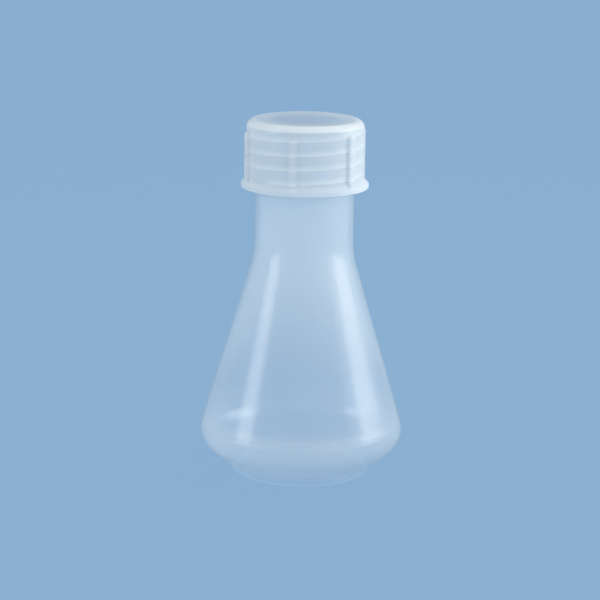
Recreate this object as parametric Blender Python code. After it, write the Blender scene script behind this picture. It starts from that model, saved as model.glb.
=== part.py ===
"""A 100 ml conical laboratory flask in natural polypropylene, closed by a screw cap.

Three separate pieces: the blow-moulded flask with a single-start right-hand thread on its
neck, the ribbed screw cap with the matching inside thread, and the sealing liner that the
cap presses on the rim. Metres, +Z up, origin at the centre of the foot. -Y is the front.
"""

from math import acos, atan2, ceil, cos, hypot, pi, radians, sin, tan

import bmesh
import bpy
from mathutils import Matrix

# Flask: outside. A corner is where two straight runs would meet without their round.
RIM_HEIGHT = 0.1059
NECK_DIAMETER = 0.0299
NECK_CORNER_HEIGHT = 0.0679
SHOULDER_RADIUS = 0.0285
HEEL_CORNER_DIAMETER = 0.0640
HEEL_CORNER_HEIGHT = 0.01045
HEEL_RADIUS = 0.0072
FOOT_DIAMETER = 0.0430
FOOT_HEIGHT = 0.0010
FOOT_FILLET = 0.0008
FOOT_EDGE_RADIUS = 0.0004
FOOT_RING_WIDTH = 0.0022
BASE_RECESS = 0.0009
BASE_RECESS_SLOPE = 0.0008
BASE_CROWN = 0.0009

# Flask: walls.
NECK_WALL = 0.00145
BODY_WALL = 0.0012
BASE_WALL = 0.0014
INSIDE_FLOOR_RADIUS = 0.0020
RIM_ROUND = 0.0005

# Thread, six turns to the inch.
THREAD_PITCH = 0.0254 / 6
NECK_THREAD_HEIGHT = 0.0011
NECK_THREAD_CREST = 0.0010
NECK_THREAD_TURNS = 1.75
NECK_THREAD_DROP = 0.0018
NECK_THREAD_END_ANGLE = 76.0
CAP_THREAD_CREST = 0.0009
CAP_THREAD_START = 0.0030
CAP_THREAD_TOP_GAP = 0.00135
THREAD_FLANK_RUN = 0.0006
THREAD_CLEARANCE = 0.0004
THREAD_FLANK_GAP = 0.00035
THREAD_RUN_OUT = 30.0
THREAD_ROOT_DEPTH = 0.0004

# Cap and liner.
CAP_HEIGHT = 0.0206
CAP_TOP_THICKNESS = 0.0015
CAP_SKIRT_WALL = 0.00135
CAP_EDGE_RADIUS = 0.0025
CAP_MOUTH_CHAMFER = 0.0004
FLANGE_OVERHANG = 0.00155
FLANGE_BAND = 0.0013
FLANGE_SLOPE = 0.0016
FLANGE_EDGE_RADIUS = 0.0003
RIB_COUNT = 6
RIB_WIDTH = 0.0026
RIB_HEIGHT = 0.0012
RIB_TOP_DROP = 0.0031
RIB_ROUND = 0.0006
RIB_END_RADIUS = 0.0012
RIB_ROOT_DEPTH = 0.0006
FRONT_RIB_ANGLE = -101.5
LINER_THICKNESS = 0.0010
LINER_EDGE_RADIUS = 0.0002
SEAT_GAP = 0.0003

# Facets and shading.
STEPS_PER_TURN = 60
FACET_SAG = 0.00003
RIB_ROUND_STEPS = 2
LONGEST_ROUND = 0.49
SHARP_ANGLE = 35.0

# Finish of the plastics.
FLASK_COLOUR = (0.80, 0.86, 0.90)
FLASK_ROUGHNESS = 0.30
CAP_COLOUR = (0.86, 0.90, 0.92)
CAP_ROUGHNESS = 0.35
LINER_COLOUR = (0.88, 0.90, 0.90)
LINER_ROUGHNESS = 0.45
PLASTIC_TRANSMISSION = 0.6

# Worked out from the above.
neck_radius = NECK_DIAMETER / 2
heel_corner_radius = HEEL_CORNER_DIAMETER / 2
foot_radius = FOOT_DIAMETER / 2
neck_crest_radius = neck_radius + NECK_THREAD_HEIGHT
cap_bore_radius = neck_crest_radius + THREAD_CLEARANCE
cap_crest_radius = neck_radius + THREAD_CLEARANCE
skirt_radius = cap_bore_radius + CAP_SKIRT_WALL
flange_radius = skirt_radius + FLANGE_OVERHANG
liner_bottom = RIM_HEIGHT + SEAT_GAP
cap_inside_top = liner_bottom + LINER_THICKNESS + SEAT_GAP
cap_inside_radius = LINER_EDGE_RADIUS + SEAT_GAP
cap_bottom = cap_inside_top + CAP_TOP_THICKNESS - CAP_HEIGHT
thread_height = cap_bore_radius - cap_crest_radius
flank_slope = THREAD_FLANK_RUN / thread_height


def crossing(line_a, line_b):
    """The point where two lines in the r-z plane meet; each line is a pair of points."""
    (ax, az), (bx, bz) = line_a
    (cx, cz), (dx, dz) = line_b
    run_a, rise_a = bx - ax, bz - az
    run_b, rise_b = dx - cx, dz - cz
    along = ((cx - ax) * rise_b - (cz - az) * run_b) / (run_a * rise_b - rise_a * run_b)
    return ax + run_a * along, az + rise_a * along


def parallel(line, distance):
    """The line moved to the right of its direction by a distance."""
    (ax, az), (bx, bz) = line
    length = hypot(bx - ax, bz - az)
    move_r, move_z = (bz - az) / length * distance, -(bx - ax) / length * distance
    return (ax + move_r, az + move_z), (bx + move_r, bz + move_z)


def rounded(corners):
    """Points of an outline whose corners (r, z, radius) are rounded with arcs.

    A round that is too large for its neighbouring runs is limited to just under half of the
    shorter one.
    """
    points = []
    for index, (r, z, radius) in enumerate(corners):
        if radius == 0.0:
            points.append((r, z))
            continue
        before, after = corners[index - 1], corners[index + 1]
        back = (before[0] - r, before[1] - z)
        ahead = (after[0] - r, after[1] - z)
        back_length, ahead_length = hypot(*back), hypot(*ahead)
        back = (back[0] / back_length, back[1] / back_length)
        ahead = (ahead[0] / ahead_length, ahead[1] / ahead_length)
        half_angle = acos(back[0] * ahead[0] + back[1] * ahead[1]) / 2
        tangent = radius / tan(half_angle)
        tangent = min(tangent, LONGEST_ROUND * back_length, LONGEST_ROUND * ahead_length)
        radius = tangent * tan(half_angle)
        middle = (back[0] + ahead[0], back[1] + ahead[1])
        reach = radius / sin(half_angle) / hypot(*middle)
        centre = (r + middle[0] * reach, z + middle[1] * reach)
        first = (r + back[0] * tangent, z + back[1] * tangent)
        last = (r + ahead[0] * tangent, z + ahead[1] * tangent)
        start = atan2(first[1] - centre[1], first[0] - centre[0])
        sweep = atan2(last[1] - centre[1], last[0] - centre[0]) - start
        sweep = (sweep + pi) % (2 * pi) - pi
        steps = max(2, ceil(abs(sweep) / (2 * acos(1 - min(1.0, FACET_SAG / radius)))))
        for step in range(steps + 1):
            angle = start + sweep * step / steps
            points.append((centre[0] + radius * cos(angle), centre[1] + radius * sin(angle)))
    return points


def revolve(name, outline):
    """A closed mesh turned from an outline that starts and ends on the Z axis."""
    mesh = bmesh.new()
    rings = []
    for r, z in outline:
        if r < 1e-9:
            rings.append([mesh.verts.new((0.0, 0.0, z))] * STEPS_PER_TURN)
            continue
        turn = [2 * pi * step / STEPS_PER_TURN for step in range(STEPS_PER_TURN)]
        rings.append([mesh.verts.new((r * cos(a), r * sin(a), z)) for a in turn])
    for upper, lower in zip(rings, rings[1:]):
        for step in range(STEPS_PER_TURN):
            ahead = (step + 1) % STEPS_PER_TURN
            corners = [upper[step], upper[ahead], lower[ahead], lower[step]]
            mesh.faces.new(list(dict.fromkeys(corners)))
    return finished_object(name, mesh)


def helical_ridge(name, wall_radius, crest_radius, crest_width, start, turns):
    """One turn or more of thread: a ridge that rises by the pitch in each turn.

    start is the angle in degrees and the height of the ridge's middle at its lower end.
    The ridge sinks into the wall at both ends, where it runs out.
    """
    start_angle, start_height = start
    outwards = 1 if crest_radius > wall_radius else -1
    root_radius = wall_radius - outwards * THREAD_ROOT_DEPTH
    steps = ceil(turns * STEPS_PER_TURN)
    mesh = bmesh.new()
    sections = []
    for step in range(steps + 1):
        turned = 360.0 * turns * step / steps
        from_end = min(turned, 360.0 * turns - turned)
        height = min(1.0, from_end / THREAD_RUN_OUT)
        height = sin(height * pi / 2)
        low = wall_radius - outwards * THREAD_ROOT_DEPTH / 2
        crest = low + (crest_radius - low) * height
        half_crest = crest_width / 2
        half_root = half_crest + abs(crest_radius - root_radius) * flank_slope
        half_top = half_root - abs(crest - root_radius) * flank_slope
        middle = start_height + THREAD_PITCH * turned / 360.0
        angle = radians(start_angle + turned)
        profile = [
            (root_radius, middle - half_root),
            (crest, middle - half_top),
            (crest, middle + half_top),
            (root_radius, middle + half_root),
        ]
        section = [mesh.verts.new((r * cos(angle), r * sin(angle), z)) for r, z in profile]
        sections.append(section)
    for near, far in zip(sections, sections[1:]):
        for side in range(len(near)):
            ahead = (side + 1) % len(near)
            mesh.faces.new((near[side], near[ahead], far[ahead], far[side]))
    mesh.faces.new(sections[0])
    mesh.faces.new(sections[-1])
    return finished_object(name, mesh)


def finished_object(name, mesh):
    """An object made of a bmesh, with its faces pointing out and shaded smooth."""
    bmesh.ops.recalc_face_normals(mesh, faces=mesh.faces)
    data = bpy.data.meshes.new(name)
    mesh.to_mesh(data)
    mesh.free()
    data.shade_smooth()
    data.set_sharp_from_angle(angle=radians(SHARP_ANGLE))
    piece = bpy.data.objects.new(name, data)
    bpy.context.scene.collection.objects.link(piece)
    return piece


def join_guide(piece, guide):
    """Adds a guide's solid to a piece with a Boolean union; the guide itself isn't rendered."""
    guide.hide_render = True
    guide.display_type = "WIRE"
    guide.parent = piece
    union = piece.modifiers.new("add_" + guide.name, "BOOLEAN")
    union.operation = "UNION"
    union.solver = "EXACT"
    union.object = guide


def plastic(name, colour, roughness):
    """Natural, milky polypropylene that lets some light through."""
    material = bpy.data.materials.new(name)
    material.use_nodes = True
    shader = material.node_tree.nodes["Principled BSDF"]
    shader.inputs["Base Color"].default_value = (*colour, 1.0)
    shader.inputs["Roughness"].default_value = roughness
    shader.inputs["Metallic"].default_value = 0.0
    shader.inputs["Transmission Weight"].default_value = PLASTIC_TRANSMISSION
    return material


def flask_outline():
    """Half section of the flask, from the inside floor up over the rim and down to the foot."""
    neck_bore = neck_radius - NECK_WALL
    neck_corner = (neck_radius, NECK_CORNER_HEIGHT)
    heel_corner = (heel_corner_radius, HEEL_CORNER_HEIGHT)
    foot_corner = (foot_radius, FOOT_HEIGHT)
    ring_inside = foot_radius - FOOT_RING_WIDTH
    panel_edge = (ring_inside - BASE_RECESS_SLOPE, BASE_RECESS)
    panel_middle = (0.0, BASE_RECESS + BASE_CROWN)
    bore = ((neck_bore, RIM_HEIGHT), (neck_bore, NECK_CORNER_HEIGHT))
    cone = parallel((neck_corner, heel_corner), BODY_WALL)
    chamfer = parallel((heel_corner, foot_corner), BODY_WALL)
    floor = parallel((panel_edge, panel_middle), BASE_WALL)
    floor_middle = crossing(floor, ((0.0, 0.0), (0.0, 1.0)))
    return rounded([
        (*floor_middle, 0.0),
        (*crossing(chamfer, floor), INSIDE_FLOOR_RADIUS),
        (*crossing(cone, chamfer), HEEL_RADIUS - BODY_WALL),
        (*crossing(bore, cone), SHOULDER_RADIUS + BODY_WALL),
        (neck_bore, RIM_HEIGHT, RIM_ROUND),
        (neck_radius, RIM_HEIGHT, RIM_ROUND),
        (*neck_corner, SHOULDER_RADIUS),
        (*heel_corner, HEEL_RADIUS),
        (*foot_corner, FOOT_FILLET),
        (foot_radius, 0.0, FOOT_EDGE_RADIUS),
        (ring_inside, 0.0, FOOT_EDGE_RADIUS),
        (*panel_edge, FOOT_EDGE_RADIUS),
        (*panel_middle, 0.0),
    ])


def neck_thread_top():
    """Height of the middle of the neck's ridge at its upper end."""
    return RIM_HEIGHT - NECK_THREAD_DROP


def cap_thread_start():
    """Angle and height where the cap's ridge starts, so that it runs just under the neck's."""
    engaged = neck_crest_radius - cap_crest_radius
    half_widths = (NECK_THREAD_CREST + CAP_THREAD_CREST) / 2 + engaged * flank_slope
    below_neck_ridge = half_widths + THREAD_FLANK_GAP
    start_height = cap_bottom + CAP_THREAD_START
    drop = neck_thread_top() - below_neck_ridge - start_height
    return NECK_THREAD_END_ANGLE - 360.0 * drop / THREAD_PITCH, start_height


def make_flask(material):
    flask = revolve("flask_body", flask_outline())
    rise = NECK_THREAD_TURNS * THREAD_PITCH
    start_angle = NECK_THREAD_END_ANGLE - 360.0 * NECK_THREAD_TURNS
    start = (start_angle, neck_thread_top() - rise)
    thread = helical_ridge(
        "neck_thread", neck_radius, neck_crest_radius, NECK_THREAD_CREST, start, NECK_THREAD_TURNS
    )
    join_guide(flask, thread)
    flask.data.materials.append(material)
    return flask


def make_liner(material, closure):
    """The sealing disc, which lies between the rim and the inside of the cap's top."""
    radius = cap_bore_radius - SEAT_GAP
    outline = rounded([
        (0.0, LINER_THICKNESS, 0.0),
        (radius, LINER_THICKNESS, LINER_EDGE_RADIUS),
        (radius, 0.0, LINER_EDGE_RADIUS),
        (0.0, 0.0, 0.0),
    ])
    liner = revolve("sealing_liner", outline)
    liner.parent = closure
    liner.location.z = liner_bottom - closure.location.z
    liner.data.materials.append(material)
    return liner


def cap_outline():
    """Half section of the cap, from the top's middle down the outside and back up the inside."""
    band_top = FLANGE_BAND
    slope_top = FLANGE_BAND + FLANGE_SLOPE
    inside_top = CAP_HEIGHT - CAP_TOP_THICKNESS
    return rounded([
        (0.0, CAP_HEIGHT, 0.0),
        (skirt_radius, CAP_HEIGHT, CAP_EDGE_RADIUS),
        (skirt_radius, slope_top, FLANGE_EDGE_RADIUS),
        (flange_radius, band_top, FLANGE_EDGE_RADIUS),
        (flange_radius, 0.0, FLANGE_EDGE_RADIUS),
        (cap_bore_radius + CAP_MOUTH_CHAMFER, 0.0, 0.0),
        (cap_bore_radius, CAP_MOUTH_CHAMFER, 0.0),
        (cap_bore_radius, inside_top, cap_inside_radius),
        (0.0, inside_top, 0.0),
    ])


def rib_outline():
    """A rib seen from outside: straight sides, a round upper end and a foot in the flange."""
    half = RIB_WIDTH / 2
    top = CAP_HEIGHT - RIB_TOP_DROP
    return rounded([
        (-half, FLANGE_BAND / 2, 0.0),
        (-half, top, RIB_END_RADIUS),
        (half, top, RIB_END_RADIUS),
        (half, FLANGE_BAND / 2, 0.0),
    ])


def grip_ribs():
    """Upright ribs at even angles around the skirt, each with its outer edges rounded."""
    root = skirt_radius - RIB_ROOT_DEPTH
    crest = skirt_radius + RIB_HEIGHT
    mesh = bmesh.new()
    for rib in range(RIB_COUNT):
        angle = FRONT_RIB_ANGLE + 360.0 * rib / RIB_COUNT
        back = mesh.faces.new([mesh.verts.new((root, y, z)) for y, z in rib_outline()])
        front = bmesh.ops.extrude_face_region(mesh, geom=[back], use_keep_orig=True)["geom"]
        front_points = [item for item in front if isinstance(item, bmesh.types.BMVert)]
        front_edges = [item for item in front if isinstance(item, bmesh.types.BMEdge)]
        bmesh.ops.translate(mesh, verts=front_points, vec=(crest - root, 0.0, 0.0))
        body = list(back.verts) + front_points
        turn = Matrix.Rotation(radians(angle), 3, "Z")
        bmesh.ops.rotate(mesh, verts=body, cent=(0.0, 0.0, 0.0), matrix=turn)
        bmesh.ops.bevel(
            mesh, geom=front_edges, offset=RIB_ROUND, segments=RIB_ROUND_STEPS,
            profile=0.5, affect="EDGES", clamp_overlap=True,
        )
    return finished_object("grip_ribs", mesh)


def make_cap(material, closure):
    cap = revolve("screw_cap", cap_outline())
    start_angle, start_height = cap_thread_start()
    end_height = liner_bottom - CAP_THREAD_TOP_GAP
    turns = (end_height - start_height) / THREAD_PITCH
    thread = helical_ridge(
        "cap_thread", cap_bore_radius, cap_crest_radius, CAP_THREAD_CREST,
        (start_angle, start_height - cap_bottom), turns,
    )
    join_guide(cap, thread)
    join_guide(cap, grip_ribs())
    cap.parent = closure
    cap.location.z = cap_bottom - closure.location.z
    cap.data.materials.append(material)
    return cap


def make_closure():
    """The upright axis at the rim, on which the cap turns and the liner and cap are lifted."""
    closure = bpy.data.objects.new("closure_axis", None)
    closure.empty_display_size = NECK_DIAMETER
    closure.location.z = RIM_HEIGHT
    bpy.context.scene.collection.objects.link(closure)
    return closure


def build():
    for old in list(bpy.data.objects):
        bpy.data.objects.remove(old, do_unlink=True)
    flask_plastic = plastic("flask_polypropylene", FLASK_COLOUR, FLASK_ROUGHNESS)
    cap_plastic = plastic("cap_polypropylene", CAP_COLOUR, CAP_ROUGHNESS)
    liner_plastic = plastic("liner_polyethylene", LINER_COLOUR, LINER_ROUGHNESS)
    make_flask(flask_plastic)
    closure = make_closure()
    make_liner(liner_plastic, closure)
    make_cap(cap_plastic, closure)


build()
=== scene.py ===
"""The looks of a 100 ml conical polypropylene flask with its screw cap and liner.

Named lengths are in metres and named angles in degrees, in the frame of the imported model:
+Z up, the origin under the foot's middle, -Y towards the camera.
"""

from math import acos, atan2, ceil, cos, hypot, pi, radians, sin, tan

import bpy
import numpy as np
from mathutils import Matrix, Vector


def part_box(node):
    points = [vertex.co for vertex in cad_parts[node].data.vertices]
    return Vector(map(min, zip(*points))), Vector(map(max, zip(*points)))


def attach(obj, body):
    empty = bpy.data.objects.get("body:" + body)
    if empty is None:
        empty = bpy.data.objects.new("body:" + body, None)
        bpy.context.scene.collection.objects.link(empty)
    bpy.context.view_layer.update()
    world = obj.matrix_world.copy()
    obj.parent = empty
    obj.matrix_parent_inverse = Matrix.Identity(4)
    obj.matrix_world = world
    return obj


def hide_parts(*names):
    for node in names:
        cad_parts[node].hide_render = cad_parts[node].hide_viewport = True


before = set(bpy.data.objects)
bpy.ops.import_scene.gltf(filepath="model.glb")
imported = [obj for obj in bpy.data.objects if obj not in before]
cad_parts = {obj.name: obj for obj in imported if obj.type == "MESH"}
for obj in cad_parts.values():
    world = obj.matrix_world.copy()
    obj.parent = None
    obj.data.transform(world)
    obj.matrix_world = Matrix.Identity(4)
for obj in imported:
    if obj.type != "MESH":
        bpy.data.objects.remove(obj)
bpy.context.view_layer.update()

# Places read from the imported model.
RIM_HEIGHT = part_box("flask_body")[1].z
CAP_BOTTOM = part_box("screw_cap")[0].z
CAP_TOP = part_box("screw_cap")[1].z
LINER_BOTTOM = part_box("sealing_liner")[0].z
LINER_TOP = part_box("sealing_liner")[1].z
LINER_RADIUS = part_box("sealing_liner")[1].x
FLANGE_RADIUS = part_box("screw_cap")[1].x

# Flask.
NECK_RADIUS = 0.01495
NECK_CORNER_HEIGHT = 0.0679
SHOULDER_RADIUS = 0.0285
HEEL_CORNER = (0.0320, 0.01045)
HEEL_RADIUS = 0.0072
FOOT_CORNER = (0.0215, 0.0010)
FOOT_FILLET = 0.0008
FOOT_EDGE_RADIUS = 0.0004
FOOT_RING_WIDTH = 0.0022
BASE_RECESS = 0.0009
BASE_RECESS_SLOPE = 0.0008
BASE_CROWN = 0.0009
NECK_WALL = 0.00145
BODY_WALL = 0.0012
BASE_WALL = 0.0014
INSIDE_FLOOR_RADIUS = 0.0020
RIM_ROUND = 0.0005

# Thread.
THREAD_PITCH = 0.0254 / 6
THREAD_HEIGHT = 0.0011
THREAD_CLEARANCE = 0.0004
THREAD_FLANK_GAP = 0.00035
THREAD_FLANK_RUN = 0.0006
THREAD_RUN_OUT = 30.0
NECK_THREAD_CREST = 0.0010
NECK_THREAD_TURNS = 1.75
NECK_THREAD_DROP = 0.0018
NECK_THREAD_END_ANGLE = 76.0
CAP_THREAD_CREST = 0.0009
CAP_THREAD_START = 0.0030
CAP_THREAD_TOP_GAP = 0.00135

# Cap and liner.
CAP_TOP_THICKNESS = 0.0015
CAP_BORE_RADIUS = NECK_RADIUS + THREAD_HEIGHT + THREAD_CLEARANCE
CAP_SKIRT_WALL = 0.00135
SKIRT_RADIUS = CAP_BORE_RADIUS + CAP_SKIRT_WALL
CAP_EDGE_RADIUS = 0.0025
CAP_INSIDE_RADIUS = 0.0005
CAP_MOUTH_CHAMFER = 0.0004
FLANGE_BAND = 0.0013
FLANGE_SLOPE = 0.0016
FLANGE_EDGE_RADIUS = 0.0003
LINER_EDGE_RADIUS = 0.0002

# Grip ribs. A rib's foot runs out a little past its sides, and the softness is how far the
# shading of its sides turns towards that of the skirt.
RIB_COUNT = 6
RIB_WIDTH = 0.0026
RIB_HEIGHT = 0.0012
RIB_TOP_DROP = 0.0031
RIB_ROUND = 0.0008
RIB_END_RADIUS = 0.0012
RIB_FOOT = 0.0002
RIB_FOOT_FADE = 0.3
RIB_SOFTNESS = 0.78
FRONT_RIB_ANGLE = -101.5

# Fineness of the meshes: rows along an outline, and steps, reaches and margins in degrees
# round it. Radii less than a touch apart count as one.
TOUCH = 0.000001
FACET_SAG = 0.000004
BODY_ROW = 0.0015
BEAD_ROW = 0.00012
THREAD_ROW = 0.00012
SKIRT_ROW = 0.00016
RIB_STEP = 0.45
RIB_MARGIN = 1.0
SEAM_STEP = 0.25
SEAM_REACH = 1.5
STEPS_PER_TURN = 200


def crossing(line_a, line_b):
    """The point where two lines in the r-z plane meet; each line is a pair of points."""
    (ax, az), (bx, bz) = line_a
    (cx, cz), (dx, dz) = line_b
    run_a, rise_a = bx - ax, bz - az
    run_b, rise_b = dx - cx, dz - cz
    along = ((cx - ax) * rise_b - (cz - az) * run_b) / (run_a * rise_b - rise_a * run_b)
    return ax + run_a * along, az + rise_a * along


def parallel(line, distance):
    """The line moved to the right of its direction by a distance."""
    (ax, az), (bx, bz) = line
    length = hypot(bx - ax, bz - az)
    move_r, move_z = (bz - az) / length * distance, -(bx - ax) / length * distance
    return (ax + move_r, az + move_z), (bx + move_r, bz + move_z)


def rounded(corners):
    """Points of an outline whose corners (r, z, radius) are rounded with arcs."""
    points = []
    for index, (r, z, radius) in enumerate(corners):
        if radius == 0.0:
            points.append((r, z))
            continue
        before, after = corners[index - 1], corners[index + 1]
        back = Vector((before[0] - r, before[1] - z)).normalized()
        ahead = Vector((after[0] - r, after[1] - z)).normalized()
        half_angle = acos(back.dot(ahead)) / 2
        tangent = radius / tan(half_angle)
        centre = Vector((r, z)) + (back + ahead).normalized() * radius / sin(half_angle)
        first = Vector((r, z)) + back * tangent - centre
        last = Vector((r, z)) + ahead * tangent - centre
        start = atan2(first.y, first.x)
        sweep = (atan2(last.y, last.x) - start + pi) % (2 * pi) - pi
        steps = max(4, ceil(abs(sweep) / (2 * acos(1 - FACET_SAG / radius))))
        for step in range(steps + 1):
            angle = start + sweep * step / steps
            points.append((centre.x + radius * cos(angle), centre.y + radius * sin(angle)))
    return points


def with_rows(points, low, high, row):
    """The outline with extra points, a row apart, wherever it runs between two heights."""
    finer = [points[0]]
    for (r0, z0), (r1, z1) in zip(points, points[1:]):
        inside = max(z0, z1) > low and min(z0, z1) < high
        pieces = max(1, ceil(hypot(r1 - r0, z1 - z0) / row)) if inside else 1
        for piece in range(1, pieces + 1):
            share = piece / pieces
            finer.append((r0 + (r1 - r0) * share, z0 + (z1 - z0) * share))
    return finer


def degrees_away(degrees, middle):
    """How far angles are from a middle one, the short way round, all in degrees."""
    return np.abs((degrees - middle + 180.0) % 360.0 - 180.0)


def turn_angles(dense_at=(), reach=0.0, step=1.0):
    """Angles round a turn, in radians, with a finer step within reach of those in dense_at."""
    degrees = np.arange(STEPS_PER_TURN) * 360.0 / STEPS_PER_TURN
    for middle in dense_at:
        away = degrees_away(degrees, middle)
        fine = middle + np.linspace(-reach, reach, 2 * round(reach / step) + 1)
        degrees = np.concatenate([degrees[away > reach + step], fine % 360.0])
    return np.radians(np.unique(np.round(degrees, 4)))


def lathe(name, outline, angles, reshape):
    """A closed mesh turned from an outline that starts and ends on the Z axis.

    reshape takes the arrays of radius, height and angle. It returns the new radii, how milky
    each point is, with painted light and shade in places, and how far it whitens and shines at a
    slant; the material reads both.
    """
    inner = np.array(outline[1:-1])
    angle, radius = np.meshgrid(angles, inner[:, 0])
    height = np.meshgrid(angles, inner[:, 1])[1]
    radius, milk, sheen = reshape(radius, height, angle)
    points = np.stack([radius * np.cos(angle), radius * np.sin(angle), height], axis=-1)
    poles = np.array([(0.0, 0.0, outline[0][1]), (0.0, 0.0, outline[-1][1])])
    vertices = np.concatenate([points.reshape(-1, 3), poles])
    rows, columns = radius.shape
    index = np.arange(rows * columns).reshape(rows, columns)
    ahead = np.roll(index, -1, axis=1)
    quads = np.stack([index[:-1], index[1:], ahead[1:], ahead[:-1]], axis=-1).reshape(-1, 4)
    first, last = rows * columns, rows * columns + 1
    fans = [(first, int(a), int(b)) for a, b in zip(index[0], ahead[0])]
    fans += [(last, int(b), int(a)) for a, b in zip(index[-1], ahead[-1])]
    data = bpy.data.meshes.new(name)
    data.from_pydata(vertices.tolist(), [], quads.tolist() + fans)
    data.validate()
    data.shade_smooth()
    for kind, share in (("milk_and_painted_light", milk), ("slant_sheen", sheen)):
        share = np.broadcast_to(share, radius.shape)
        values = np.concatenate([share.ravel(), [share[0].mean(), share[-1].mean()]])
        stored = data.attributes.new(kind, "FLOAT", "POINT")
        stored.data.foreach_set("value", values.astype(np.float32))
    piece = bpy.data.objects.new(name, data)
    bpy.context.scene.collection.objects.link(piece)
    return piece


def soften_ribs(piece, low, high):
    """Turn the shading of the ribs' sides towards that of the skirt, as light inside does."""
    data = piece.data
    count = len(data.vertices)
    points, normals = np.empty(count * 3), np.empty(count * 3)
    data.vertices.foreach_get("co", points)
    data.vertex_normals.foreach_get("vector", normals)
    points, normals = points.reshape(-1, 3), normals.reshape(-1, 3)
    distance = np.hypot(points[:, 0], points[:, 1])
    skirt = (distance > SKIRT_RADIUS - TOUCH) & (points[:, 2] > low) & (points[:, 2] < high)
    outward = np.stack([points[:, 0], points[:, 1], 0 * distance], axis=-1)
    outward[skirt] /= distance[skirt, None]
    normals[skirt] += (outward[skirt] - normals[skirt]) * RIB_SOFTNESS
    normals /= np.linalg.norm(normals, axis=1)[:, None]
    data.normals_split_custom_set_from_vertices(normals.tolist())


def smooth(share):
    """0 below 0 and 1 above 1, with an even S between."""
    share = np.clip(share, 0.0, 1.0)
    return share * share * (3.0 - 2.0 * share)


def helix(angle, start, turns):
    """For each turn of a thread, its height at each angle and its fade to 0 at either end.

    start is the angle, in degrees, and the height of the thread's middle at its lower end.
    """
    start_angle, start_height = start
    first_turn = (np.degrees(angle) - start_angle) % 360.0
    for turn in range(ceil(turns) + 1):
        turned = first_turn + 360.0 * turn
        from_end = np.minimum(turned, 360.0 * turns - turned)
        yield start_height + THREAD_PITCH * turned / 360.0, smooth(from_end / THREAD_RUN_OUT)


def ridge(height, angle, start, turns, crest_width):
    """How far a thread stands proud, from 0 to 1, at each height and angle of a wall."""
    share = np.zeros_like(height)
    for middle, fade in helix(angle, start, turns):
        past_crest = np.abs(height - middle) - crest_width / 2
        share = np.maximum(share, smooth(1.0 - past_crest / THREAD_FLANK_RUN) * fade)
    return share


# Painted light: white bands on the skirt where the cap's thread catches the light.
BAND_HEIGHT = 0.0018
BAND_EDGE = 0.00025
BAND_RUN_ON = 0.45


def painted_thread_light(height, angle, start, turns):
    """Painted light on the skirt over the cap's thread: 1 at a turn's lower edge, fading upwards.
    """
    share = np.zeros_like(height)
    for middle, fade in helix(angle, start, turns):
        up = height - middle
        fall = np.clip(1.0 - up / BAND_HEIGHT, 0.0, 1.0)
        share = np.maximum(share, smooth(up / BAND_EDGE + 1.0) * fall * fade)
    return share


def neck_thread_start():
    """Angle and height of the lower end of the neck's ridge."""
    top = RIM_HEIGHT - NECK_THREAD_DROP
    return NECK_THREAD_END_ANGLE - 360.0 * NECK_THREAD_TURNS, top - NECK_THREAD_TURNS * THREAD_PITCH


def cap_thread_start():
    """Angle and height of the lower end of the cap's ridge, which runs just under the neck's."""
    engaged = THREAD_HEIGHT - THREAD_CLEARANCE
    flank_slope = THREAD_FLANK_RUN / THREAD_HEIGHT
    half_widths = (NECK_THREAD_CREST + CAP_THREAD_CREST) / 2 + engaged * flank_slope
    start_height = CAP_BOTTOM + CAP_THREAD_START
    drop = RIM_HEIGHT - NECK_THREAD_DROP - half_widths - THREAD_FLANK_GAP - start_height
    return NECK_THREAD_END_ANGLE - 360.0 * drop / THREAD_PITCH, start_height


def flask_outline():
    """Half section of the flask, from the inside floor up over the rim and down to the foot."""
    neck_bore = NECK_RADIUS - NECK_WALL
    neck_corner = (NECK_RADIUS, NECK_CORNER_HEIGHT)
    ring_inside = FOOT_CORNER[0] - FOOT_RING_WIDTH
    panel_edge = (ring_inside - BASE_RECESS_SLOPE, BASE_RECESS)
    panel_middle = (0.0, BASE_RECESS + BASE_CROWN)
    bore = ((neck_bore, RIM_HEIGHT), (neck_bore, NECK_CORNER_HEIGHT))
    cone = parallel((neck_corner, HEEL_CORNER), BODY_WALL)
    chamfer = parallel((HEEL_CORNER, FOOT_CORNER), BODY_WALL)
    floor = parallel((panel_edge, panel_middle), BASE_WALL)
    floor_middle = crossing(floor, ((0.0, 0.0), (0.0, 1.0)))
    return rounded([
        (*floor_middle, 0.0),
        (*crossing(chamfer, floor), INSIDE_FLOOR_RADIUS),
        (*crossing(cone, chamfer), HEEL_RADIUS - BODY_WALL),
        (*crossing(bore, cone), SHOULDER_RADIUS + BODY_WALL),
        (neck_bore, RIM_HEIGHT, RIM_ROUND),
        (NECK_RADIUS, RIM_HEIGHT, RIM_ROUND),
        (*neck_corner, SHOULDER_RADIUS),
        (*HEEL_CORNER, HEEL_RADIUS),
        (*FOOT_CORNER, FOOT_FILLET),
        (FOOT_CORNER[0], 0.0, FOOT_EDGE_RADIUS),
        (ring_inside, 0.0, FOOT_EDGE_RADIUS),
        (*panel_edge, FOOT_EDGE_RADIUS),
        (*panel_middle, 0.0),
    ])


# Height and milk of the flask's skins.
OUTSIDE_MILK = (
    (0.0000, 0.05),
    (0.0010, 0.05),
    (0.0014, 0.10),
    (0.0180, 0.10),
    (0.0200, 0.08),
    (0.0270, 0.06),
    (0.0340, 0.08),
    (0.0480, 0.15),
    (0.0600, 0.21),
    (0.0700, 0.235),
)
INSIDE_MILK = (
    (0.0180, 0.03),
    (0.0340, 0.04),
    (0.0600, 0.14),
    (0.0750, 0.18),
)
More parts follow.
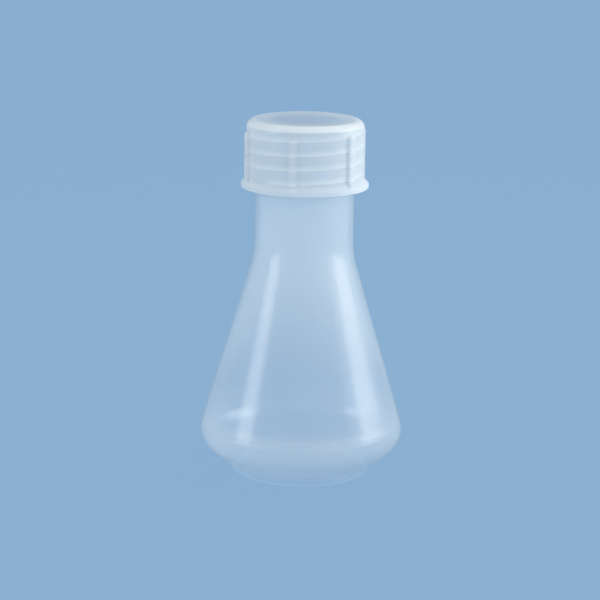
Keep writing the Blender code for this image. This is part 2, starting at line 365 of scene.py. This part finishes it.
# A whiter ring round the heel, most of all in front: painted light gathered at the heel.
HEEL_LIGHT_BAND = (
    (0.0080, 0.0),
    (0.0100, 0.8),
    (0.0115, 1.0),
    (0.0160, 1.0),
    (0.0180, 0.0),
)
HEEL_LIGHT_MILK = 0.135
HEEL_LIGHT_INSIDE = 0.045
HEEL_LIGHT_BACK = 0.2
# The inside floor, and the panel under it; their milk fades out at the foot ring.
FLOOR_TOP = 0.004
FLOOR_RADIUS = FOOT_CORNER[0] - FOOT_RING_WIDTH + 0.001
FLOOR_FADE = 0.003
FLOOR_MILK = 0.15
PANEL_MILK = 0.05
# Heights between which the outside starts to whiten and shine at a slant.
SHEEN_LOW = 0.0018
SHEEN_HIGH = 0.0040
# A fine bead round the heel, and the two parting lines of the mould.
BEAD_HEIGHT = 0.0156
BEAD_WIDTH = 0.0003
BEAD_REACH = 0.0009
BEAD_PROUD = 0.00006
SEAM_ANGLES = (0.0, 180.0)
SEAM_WIDTH = 0.00015
SEAM_PROUD = 0.00004
SEAM_LOW = 0.0160
SEAM_HIGH = 0.0880
SEAM_FADE = 0.002


def make_flask(material):
    start = neck_thread_start()
    thread_low = start[1] - THREAD_PITCH / 2
    thread_high = RIM_HEIGHT - RIM_ROUND

    outline = flask_outline()
    rim = int(np.argmax([z for r, z in outline]))
    inside = with_rows(outline[:rim + 1], 0.0, thread_high, BODY_ROW)
    outside = with_rows(outline[rim:], 0.0, thread_low, BODY_ROW)
    outside = with_rows(outside, BEAD_HEIGHT - BEAD_REACH, BEAD_HEIGHT + BEAD_REACH, BEAD_ROW)
    outside = with_rows(outside, thread_low, thread_high, THREAD_ROW)
    outline = inside + outside[1:]
    rim = len(inside) - 1

    def finish(radius, height, angle):
        skin = np.arange(len(radius))[:, None] >= rim
        threaded = (radius > NECK_RADIUS - TOUCH) & (height > thread_low) & (height < thread_high)
        proud = ridge(height, angle, start, NECK_THREAD_TURNS, NECK_THREAD_CREST) * threaded
        bead = np.exp(-(((height - BEAD_HEIGHT) / BEAD_WIDTH) ** 2)) * skin * BEAD_PROUD
        away = np.min([degrees_away(np.degrees(angle), middle) for middle in SEAM_ANGLES], axis=0)
        across = np.radians(away) * radius
        seam = np.exp(-((across / SEAM_WIDTH) ** 2)) * skin * SEAM_PROUD
        seam = seam * smooth((height - SEAM_LOW) / SEAM_FADE)
        seam = seam * smooth((SEAM_HIGH - height) / SEAM_FADE)
        # The heel ring is painted light, brightest in front.
        front = 0.5 - 0.5 * np.sin(angle)
        heel_light = HEEL_LIGHT_BACK + (1.0 - HEEL_LIGHT_BACK) * front
        heel_light = heel_light * smooth(np.interp(height, *zip(*HEEL_LIGHT_BAND)))
        outer = np.interp(height, *zip(*OUTSIDE_MILK)) + heel_light * HEEL_LIGHT_MILK
        inner = np.interp(height, *zip(*INSIDE_MILK)) + heel_light * HEEL_LIGHT_INSIDE
        milk = np.where(skin, outer, inner)
        bottom = smooth((FLOOR_RADIUS - radius) / FLOOR_FADE) * (height < FLOOR_TOP)
        milk = milk + bottom * (np.where(skin, PANEL_MILK, FLOOR_MILK) - milk)
        sheen = skin * smooth((height - SHEEN_LOW) / (SHEEN_HIGH - SHEEN_LOW))
        return radius + proud * THREAD_HEIGHT + bead + seam, milk, sheen

    flask = lathe("flask", outline, turn_angles(SEAM_ANGLES, SEAM_REACH, SEAM_STEP), finish)
    flask.data.materials.append(material)
    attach(flask, "flask")
    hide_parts("flask_body")


def cap_outline():
    """Half section of the cap, from the top's middle down the outside and back up the inside."""
    band_top = CAP_BOTTOM + FLANGE_BAND
    slope_top = band_top + FLANGE_SLOPE
    inside_top = CAP_TOP - CAP_TOP_THICKNESS
    return rounded([
        (0.0, CAP_TOP, 0.0),
        (SKIRT_RADIUS, CAP_TOP, CAP_EDGE_RADIUS),
        (SKIRT_RADIUS, slope_top, FLANGE_EDGE_RADIUS),
        (FLANGE_RADIUS, band_top, FLANGE_EDGE_RADIUS),
        (FLANGE_RADIUS, CAP_BOTTOM, FLANGE_EDGE_RADIUS),
        (CAP_BORE_RADIUS + CAP_MOUTH_CHAMFER, CAP_BOTTOM, 0.0),
        (CAP_BORE_RADIUS, CAP_BOTTOM + CAP_MOUTH_CHAMFER, 0.0),
        (CAP_BORE_RADIUS, inside_top, CAP_INSIDE_RADIUS),
        (0.0, inside_top, 0.0),
    ])


def rib_angles():
    return [FRONT_RIB_ANGLE + 360.0 * rib / RIB_COUNT for rib in range(RIB_COUNT)]


def rib_proud(height, angle):
    """How far the grip ribs stand proud of the skirt, from 0 to 1."""
    share = np.zeros_like(height)
    for middle in rib_angles():
        across = np.radians(degrees_away(np.degrees(angle), middle)) * SKIRT_RADIUS
        past_side = across - (RIB_WIDTH / 2 - RIB_END_RADIUS)
        past_top = height - (CAP_TOP - RIB_TOP_DROP - RIB_END_RADIUS)
        outside = np.hypot(np.maximum(past_side, 0.0), np.maximum(past_top, 0.0))
        inwards = RIB_END_RADIUS - outside - np.minimum(np.maximum(past_side, past_top), 0.0)
        rise = np.clip((inwards + RIB_FOOT) / (RIB_ROUND + RIB_FOOT), 0.0, 1.0)
        share = np.maximum(share, np.sqrt(1.0 - (1.0 - rise) ** 2) * smooth(rise / RIB_FOOT_FADE))
    return share


# Milkiness of the cap's skins, and what its parts add to that of the outside.
CAP_OUTSIDE_MILK = 0.50
CAP_INSIDE_MILK = 0.08
CAP_RIDGE_MILK = 0.80
# The thread bands are painted light on the skirt.
CAP_THREAD_LIGHT_MILK = 0.25
CAP_RIB_MILK = 0.10
CAP_FLANGE_MILK = 0.10
# The flange's milk is full this far out from the skirt, and ends this far above the mouth.
FLANGE_FADE = 0.0008
FLANGE_TOP = 0.0035
# The rounded upper edge; where it whitens is given in shares of its radius, out and up.
# Its whiteness is mostly a painted highlight, partly its thicker plastic.
CAP_FILLET_HIGHLIGHT_MILK = 0.44
FILLET_OUT_FADE = 0.15
FILLET_UP_START = 0.20
FILLET_UP_FADE = 0.25
# The flat top is clearer than the rest, most of all in its middle: painted shade on the top.
CAP_DISC_MILK = 0.15
DISC_FADE = 0.0008
DISC_RIM_MILK = 0.16
DISC_RIM_START = 0.0080
DISC_RINGS = 12


def make_cap(material):
    start = cap_thread_start()
    turns = (LINER_BOTTOM - CAP_THREAD_TOP_GAP - start[1]) / THREAD_PITCH
    crest_radius = NECK_RADIUS + THREAD_CLEARANCE
    thread_height = CAP_BORE_RADIUS - crest_radius

    low = CAP_BOTTOM + FLANGE_BAND
    high = CAP_TOP - CAP_EDGE_RADIUS
    disc_edge = SKIRT_RADIUS - CAP_EDGE_RADIUS
    rings = np.linspace(DISC_RIM_START, disc_edge, DISC_RINGS, endpoint=False).tolist()
    outline = cap_outline()
    lip = max(index for index, (r, z) in enumerate(outline) if z < CAP_BOTTOM + TOUCH)
    top_points = [outline[0]] + [(ring, CAP_TOP) for ring in rings]
    skirt_points = with_rows(outline[1:lip + 1], low, high, SKIRT_ROW)
    bore_points = with_rows(outline[lip:], low, high, THREAD_ROW)
    outline = top_points + skirt_points + bore_points[1:]
    mouth = len(top_points) + len(skirt_points) - 1

    def finish(radius, height, angle):
        outside = np.arange(len(radius))[:, None] < mouth
        # The skirt's bands over the thread are painted light.
        thread_light = painted_thread_light(height, angle, start, turns + BAND_RUN_ON)
        bore = np.abs(radius - CAP_BORE_RADIUS) < TOUCH
        proud = ridge(height, angle, start, turns, CAP_THREAD_CREST) * bore
        ribbed = outside & (radius > SKIRT_RADIUS - TOUCH) & (height > low)
        rib = rib_proud(height, angle) * ribbed
        rib_radius = SKIRT_RADIUS + RIB_HEIGHT * rib
        rib = np.where(rib_radius > radius, rib, 0.0)
        edge_out = (radius - SKIRT_RADIUS + CAP_EDGE_RADIUS) / CAP_EDGE_RADIUS
        edge_up = (height - CAP_TOP + CAP_EDGE_RADIUS) / CAP_EDGE_RADIUS
        # Painted highlight on the rounded upper edge, with some of its thicker plastic.
        fillet_highlight = smooth((edge_up - FILLET_UP_START) / FILLET_UP_FADE)
        fillet_highlight = fillet_highlight * smooth(edge_out / FILLET_OUT_FADE)
        flange = smooth((radius - SKIRT_RADIUS) / FLANGE_FADE) * (height < CAP_BOTTOM + FLANGE_TOP)
        # Painted shade: the flat top is clearer, and so darker, most of all in its middle.
        disc = smooth((disc_edge - radius) / DISC_FADE + 0.5)
        rim = smooth((radius - DISC_RIM_START) / (disc_edge - DISC_RIM_START))
        shaded_disc_milk = CAP_DISC_MILK + DISC_RIM_MILK * rim
        outer = CAP_OUTSIDE_MILK + rib * CAP_RIB_MILK + flange * CAP_FLANGE_MILK
        outer = outer + fillet_highlight * CAP_FILLET_HIGHLIGHT_MILK - disc * (CAP_OUTSIDE_MILK - shaded_disc_milk)
        outer = outer + thread_light * (radius > SKIRT_RADIUS - TOUCH) * CAP_THREAD_LIGHT_MILK
        inner = CAP_INSIDE_MILK * bore + proud * CAP_RIDGE_MILK
        radius = np.maximum(radius, np.where(rib > 0.0, rib_radius, 0.0)) - proud * thread_height
        return radius, np.where(outside, outer, inner), outside

    rib_reach = np.degrees(RIB_WIDTH / 2 / SKIRT_RADIUS) + RIB_MARGIN
    cap = lathe("cap", outline, turn_angles(rib_angles(), rib_reach, RIB_STEP), finish)
    soften_ribs(cap, low + FLANGE_SLOPE, high)
    cap.data.materials.append(material)
    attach(cap, "cap")
    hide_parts("screw_cap")


LINER_MILK = 0.05


def make_liner(material):
    outline = rounded([
        (0.0, LINER_TOP, 0.0),
        (LINER_RADIUS, LINER_TOP, LINER_EDGE_RADIUS),
        (LINER_RADIUS, LINER_BOTTOM, LINER_EDGE_RADIUS),
        (0.0, LINER_BOTTOM, 0.0),
    ])
    liner = lathe("liner", outline, turn_angles(), lambda r, z, a: (r, LINER_MILK, 0.0))
    liner.data.materials.append(material)
    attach(liner, "liner")
    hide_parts("sealing_liner")


# Looks. Colours are linear.
MILK_COLOUR = (0.83, 0.89, 0.92)
CAP_COLOUR = (0.88, 0.91, 0.92)
LINER_COLOUR = (0.88, 0.90, 0.90)
# A surface that is milkier than a quarter guides the denoiser, which then draws a line where
# a smooth wall passes that share, so the flask stays below it.
FLASK_MOST_MILK = 0.235
FLASK_PASSES = (0.98, 0.99, 1.0)
CAP_PASSES = (0.90, 0.945, 0.975)
PLASTIC_IOR = 1.49
FLASK_GLOSS = 0.070
CAP_GLOSS = 0.070
LINER_GLOSS = 0.01
FLASK_ROUGHNESS = 0.20
CAP_ROUGHNESS = 0.25
LINER_ROUGHNESS = 0.40
FLASK_THROUGH = 0.45
CAP_THROUGH = 0.45
LINER_THROUGH = 0.30
GRAZING_POWER = 5.0
TRANSPARENT_BOUNCES = 48
MOTTLE = 0.05
MOTTLE_SCALE = 60.0
SLANT_POWER = 2.0
SLANT_GAIN = 3.5
PEEL_SCALE = 900.0
PEEL_DEPTH = 0.000004


def node(tree, kind, **inputs):
    """A new node with plain input values, named as in its sockets with _ for a space."""
    made = tree.nodes.new(kind)
    for name, value in inputs.items():
        made.inputs[name.replace("_", " ")].default_value = value
    return made


def maths(tree, operation, first, second=None, clamp=False):
    """The output of a Math node; an argument is a number or another node's output."""
    made = tree.nodes.new("ShaderNodeMath")
    made.operation = operation
    made.use_clamp = clamp
    for socket, value in zip(made.inputs, (first, second)):
        if isinstance(value, bpy.types.NodeSocket):
            tree.links.new(value, socket)
        elif value is not None:
            socket.default_value = value
    return made.outputs[0]


def mixed(tree, share, first, second):
    """A Mix Shader's output: first at share 0, second at share 1."""
    made = tree.nodes.new("ShaderNodeMixShader")
    if isinstance(share, bpy.types.NodeSocket):
        tree.links.new(share, made.inputs[0])
    else:
        made.inputs[0].default_value = share
    tree.links.new(first, made.inputs[1])
    tree.links.new(second, made.inputs[2])
    return made.outputs[0]


def new_material(name):
    material = bpy.data.materials.new(name)
    material.use_nodes = True
    material.node_tree.nodes.clear()
    return material, material.node_tree


def noise(tree, coordinates, scale, detail=2.0):
    made = node(tree, "ShaderNodeTexNoise", Scale=scale, Detail=detail)
    tree.links.new(coordinates, made.inputs["Vector"])
    return made.outputs[0]


def stored(tree, kind):
    """A value that the mesh holds at each point."""
    made = tree.nodes.new("ShaderNodeAttribute")
    made.attribute_name = kind
    return made.outputs["Fac"]


def milk_and_light_share(tree, coordinates, facing, most):
    """The white share of a surface: its milk and painted light, mottled, and more at a slant."""
    mottle = noise(tree, coordinates, MOTTLE_SCALE)
    mottle = maths(tree, "ADD", maths(tree, "MULTIPLY", mottle, 2 * MOTTLE), 1.0 - MOTTLE)
    share = maths(tree, "MULTIPLY", stored(tree, "milk_and_painted_light"), mottle, clamp=True)
    slant = maths(tree, "MULTIPLY", maths(tree, "POWER", facing, SLANT_POWER), SLANT_GAIN)
    slant = maths(tree, "MULTIPLY", slant, stored(tree, "slant_sheen"))
    thin = maths(tree, "SUBTRACT", 1.0, share)
    thin = maths(tree, "POWER", thin, maths(tree, "ADD", slant, 1.0))
    return maths(tree, "MINIMUM", maths(tree, "SUBTRACT", 1.0, thin), most)


def milky_plastic(name, colour, passes, gloss, roughness, through, most=1.0):
    """Plastic seen through: milk over clear, both glossy, with light let through the milk.

    passes is the colour that the clear part lets by, and gloss its shine seen square on.
    through is the share of the milk that glows with the light from behind it.
    """
    material, tree = new_material(name)
    coordinates = tree.nodes.new("ShaderNodeTexCoord").outputs["Object"]
    facing = node(tree, "ShaderNodeLayerWeight", Blend=0.5).outputs["Facing"]
    grazing = maths(tree, "MULTIPLY", maths(tree, "POWER", facing, GRAZING_POWER), 1.0 - gloss)
    grazing = maths(tree, "MULTIPLY", grazing, stored(tree, "slant_sheen"))
    gloss_share = maths(tree, "ADD", grazing, gloss)
    peel = node(tree, "ShaderNodeBump", Strength=1.0, Distance=PEEL_DEPTH)
    tree.links.new(noise(tree, coordinates, PEEL_SCALE), peel.inputs["Height"])
    clear = node(tree, "ShaderNodeBsdfTransparent", Color=(*passes, 1.0))
    shine = node(tree, "ShaderNodeBsdfAnisotropic", Roughness=roughness)
    white = node(tree, "ShaderNodeBsdfPrincipled", Roughness=roughness, IOR=PLASTIC_IOR)
    white.inputs["Base Color"].default_value = (*colour, 1.0)
    glow = node(tree, "ShaderNodeBsdfTranslucent", Color=(*colour, 1.0))
    for shader in (shine, white, glow):
        tree.links.new(peel.outputs[0], shader.inputs["Normal"])
    milk = mixed(tree, through, white.outputs[0], glow.outputs[0])
    glossy_clear = mixed(tree, gloss_share, clear.outputs[0], shine.outputs[0])
    surface = mixed(tree, milk_and_light_share(tree, coordinates, facing, most), glossy_clear, milk)
    output = tree.nodes.new("ShaderNodeOutputMaterial")
    tree.links.new(surface, output.inputs["Surface"])
    return material


# Floor, light and camera.
FLOOR_COLOUR = (0.255, 0.430, 0.640)
FLOOR_EVENNESS = 0.92
PAPER_RADIUS = 6.0
PAPER_SIDES = 64
# The sky's light, low down and overhead, and how much it leans to the front and the right.
SKY_COLOUR = (1.0, 0.99, 0.96)
SKY_LOW = 2.55
SKY_HIGH = 0.42
SKY_FRONT = 0.42
SKY_RIGHT = 0.40
SKY_FALL = 2.0
# The camera looks down at the target by its pitch. Its lens and sensor are in millimetres.
TARGET = Vector((-0.00092, 0.0, 0.0530))
CAMERA_DISTANCE = 0.64365
CAMERA_PITCH = 13.39
CAMERA_ROLL = 0.867
CAMERA_LENS = 126.0
CAMERA_SENSOR = 36.0
CAMERA_CLIP = (0.01, 50.0)


def shown_to_eye(tree):
    """1 for rays that show the floor or the sky, 0 for those that light the object."""
    path = tree.nodes.new("ShaderNodeLightPath").outputs
    seen = maths(tree, "MAXIMUM", path["Is Camera Ray"], path["Is Glossy Ray"])
    return maths(tree, "MAXIMUM", seen, path["Is Transmission Ray"])


def floor_material():
    material, tree = new_material("floor_paper")
    paper = node(tree, "ShaderNodeBsdfDiffuse", Color=(*FLOOR_COLOUR, 1.0)).outputs[0]
    even = node(tree, "ShaderNodeEmission", Color=(*FLOOR_COLOUR, 1.0), Strength=1.0).outputs[0]
    share = maths(tree, "MULTIPLY", shown_to_eye(tree), FLOOR_EVENNESS)
    output = tree.nodes.new("ShaderNodeOutputMaterial")
    tree.links.new(mixed(tree, share, paper, even), output.inputs["Surface"])
    return material


def make_floor():
    data = bpy.data.meshes.new("floor")
    angles = [2 * pi * step / PAPER_SIDES for step in range(PAPER_SIDES)]
    rim = [(PAPER_RADIUS * cos(angle), PAPER_RADIUS * sin(angle), 0.0) for angle in angles]
    data.from_pydata(rim, [], [tuple(range(PAPER_SIDES))])
    data.materials.append(floor_material())
    floor = bpy.data.objects.new("floor", data)
    bpy.context.scene.collection.objects.link(floor)


def make_world():
    """A soft light round the object, weaker overhead; the eye and reflections see the paper."""
    world = bpy.data.worlds.new("studio")
    bpy.context.scene.world = world
    world.use_nodes = True
    tree = world.node_tree
    tree.nodes.clear()
    split = tree.nodes.new("ShaderNodeSeparateXYZ")
    tree.links.new(tree.nodes.new("ShaderNodeTexCoord").outputs["Generated"], split.inputs[0])
    from_top = maths(tree, "SUBTRACT", 1.0, split.outputs["Z"], clamp=True)
    low = maths(tree, "POWER", from_top, SKY_FALL)
    level = maths(tree, "ADD", maths(tree, "MULTIPLY", low, SKY_LOW - SKY_HIGH), SKY_HIGH)
    front = maths(tree, "MULTIPLY", split.outputs["Y"], -SKY_FRONT)
    right = maths(tree, "MULTIPLY", split.outputs["X"], SKY_RIGHT)
    lean = maths(tree, "ADD", maths(tree, "ADD", front, right), 1.0)
    level = maths(tree, "MULTIPLY", level, lean)
    soft = node(tree, "ShaderNodeBackground", Color=(*SKY_COLOUR, 1.0))
    tree.links.new(level, soft.inputs["Strength"])
    shown = node(tree, "ShaderNodeBackground", Color=(*FLOOR_COLOUR, 1.0))
    output = tree.nodes.new("ShaderNodeOutputWorld")
    surface = mixed(tree, shown_to_eye(tree), soft.outputs[0], shown.outputs[0])
    tree.links.new(surface, output.inputs["Surface"])


LAMP_COLOUR = (1.0, 0.955, 0.88)
# Azimuth and elevation in degrees, then distance, width, height and radiance.
SOFTBOXES = {
    "left_softbox": (-69.0, 20.0, 0.50, 0.19, 0.38, 1.9),
    "right_softbox": (91.0, 20.0, 0.50, 0.30, 0.38, 2.5),
    "right_glow": (91.0, 20.0, 0.50, 0.58, 0.46, 0.6),
    "back_softbox": (180.0, 62.0, 0.55, 0.45, 0.35, 1.2),
}


def make_softbox(name, azimuth, elevation, distance, width, height, radiance):
    """A flat lamp that faces the object; azimuth 0 is the camera's side, and 90 is +X."""
    data = bpy.data.lights.new(name, "AREA")
    data.shape = "RECTANGLE"
    data.size = width
    data.size_y = height
    data.energy = radiance * pi * width * height
    data.color = LAMP_COLOUR
    turned, raised = radians(azimuth), radians(elevation)
    direction = Vector((sin(turned) * cos(raised), -cos(turned) * cos(raised), sin(raised)))
    lamp = bpy.data.objects.new(name, data)
    lamp.location = TARGET + direction * distance
    lamp.rotation_euler = direction.to_track_quat("Z", "Y").to_euler()
    bpy.context.scene.collection.objects.link(lamp)


def make_camera():
    data = bpy.data.cameras.new("camera")
    data.lens = CAMERA_LENS
    data.sensor_width = CAMERA_SENSOR
    data.clip_start, data.clip_end = CAMERA_CLIP
    camera = bpy.data.objects.new("camera", data)
    pitch = radians(CAMERA_PITCH)
    back = Vector((0.0, -cos(pitch), sin(pitch)))
    turn = back.to_track_quat("Z", "Y").to_matrix().to_4x4()
    turn = turn @ Matrix.Rotation(radians(CAMERA_ROLL), 4, "Z")
    camera.matrix_world = Matrix.Translation(TARGET + back * CAMERA_DISTANCE) @ turn
    bpy.context.scene.collection.objects.link(camera)
    bpy.context.scene.camera = camera


make_flask(milky_plastic(
    "flask_plastic", MILK_COLOUR, FLASK_PASSES, FLASK_GLOSS, FLASK_ROUGHNESS, FLASK_THROUGH,
    FLASK_MOST_MILK,
))
make_cap(milky_plastic(
    "cap_plastic", CAP_COLOUR, CAP_PASSES, CAP_GLOSS, CAP_ROUGHNESS, CAP_THROUGH,
))
make_liner(milky_plastic(
    "liner_plastic", LINER_COLOUR, CAP_PASSES, LINER_GLOSS, LINER_ROUGHNESS, LINER_THROUGH,
))

make_floor()
make_world()
for lamp_name, lamp_values in SOFTBOXES.items():
    make_softbox(lamp_name, *lamp_values)
make_camera()

scene = bpy.context.scene
scene.view_settings.view_transform = "Standard"
scene.cycles.transparent_max_bounces = TRANSPARENT_BOUNCES
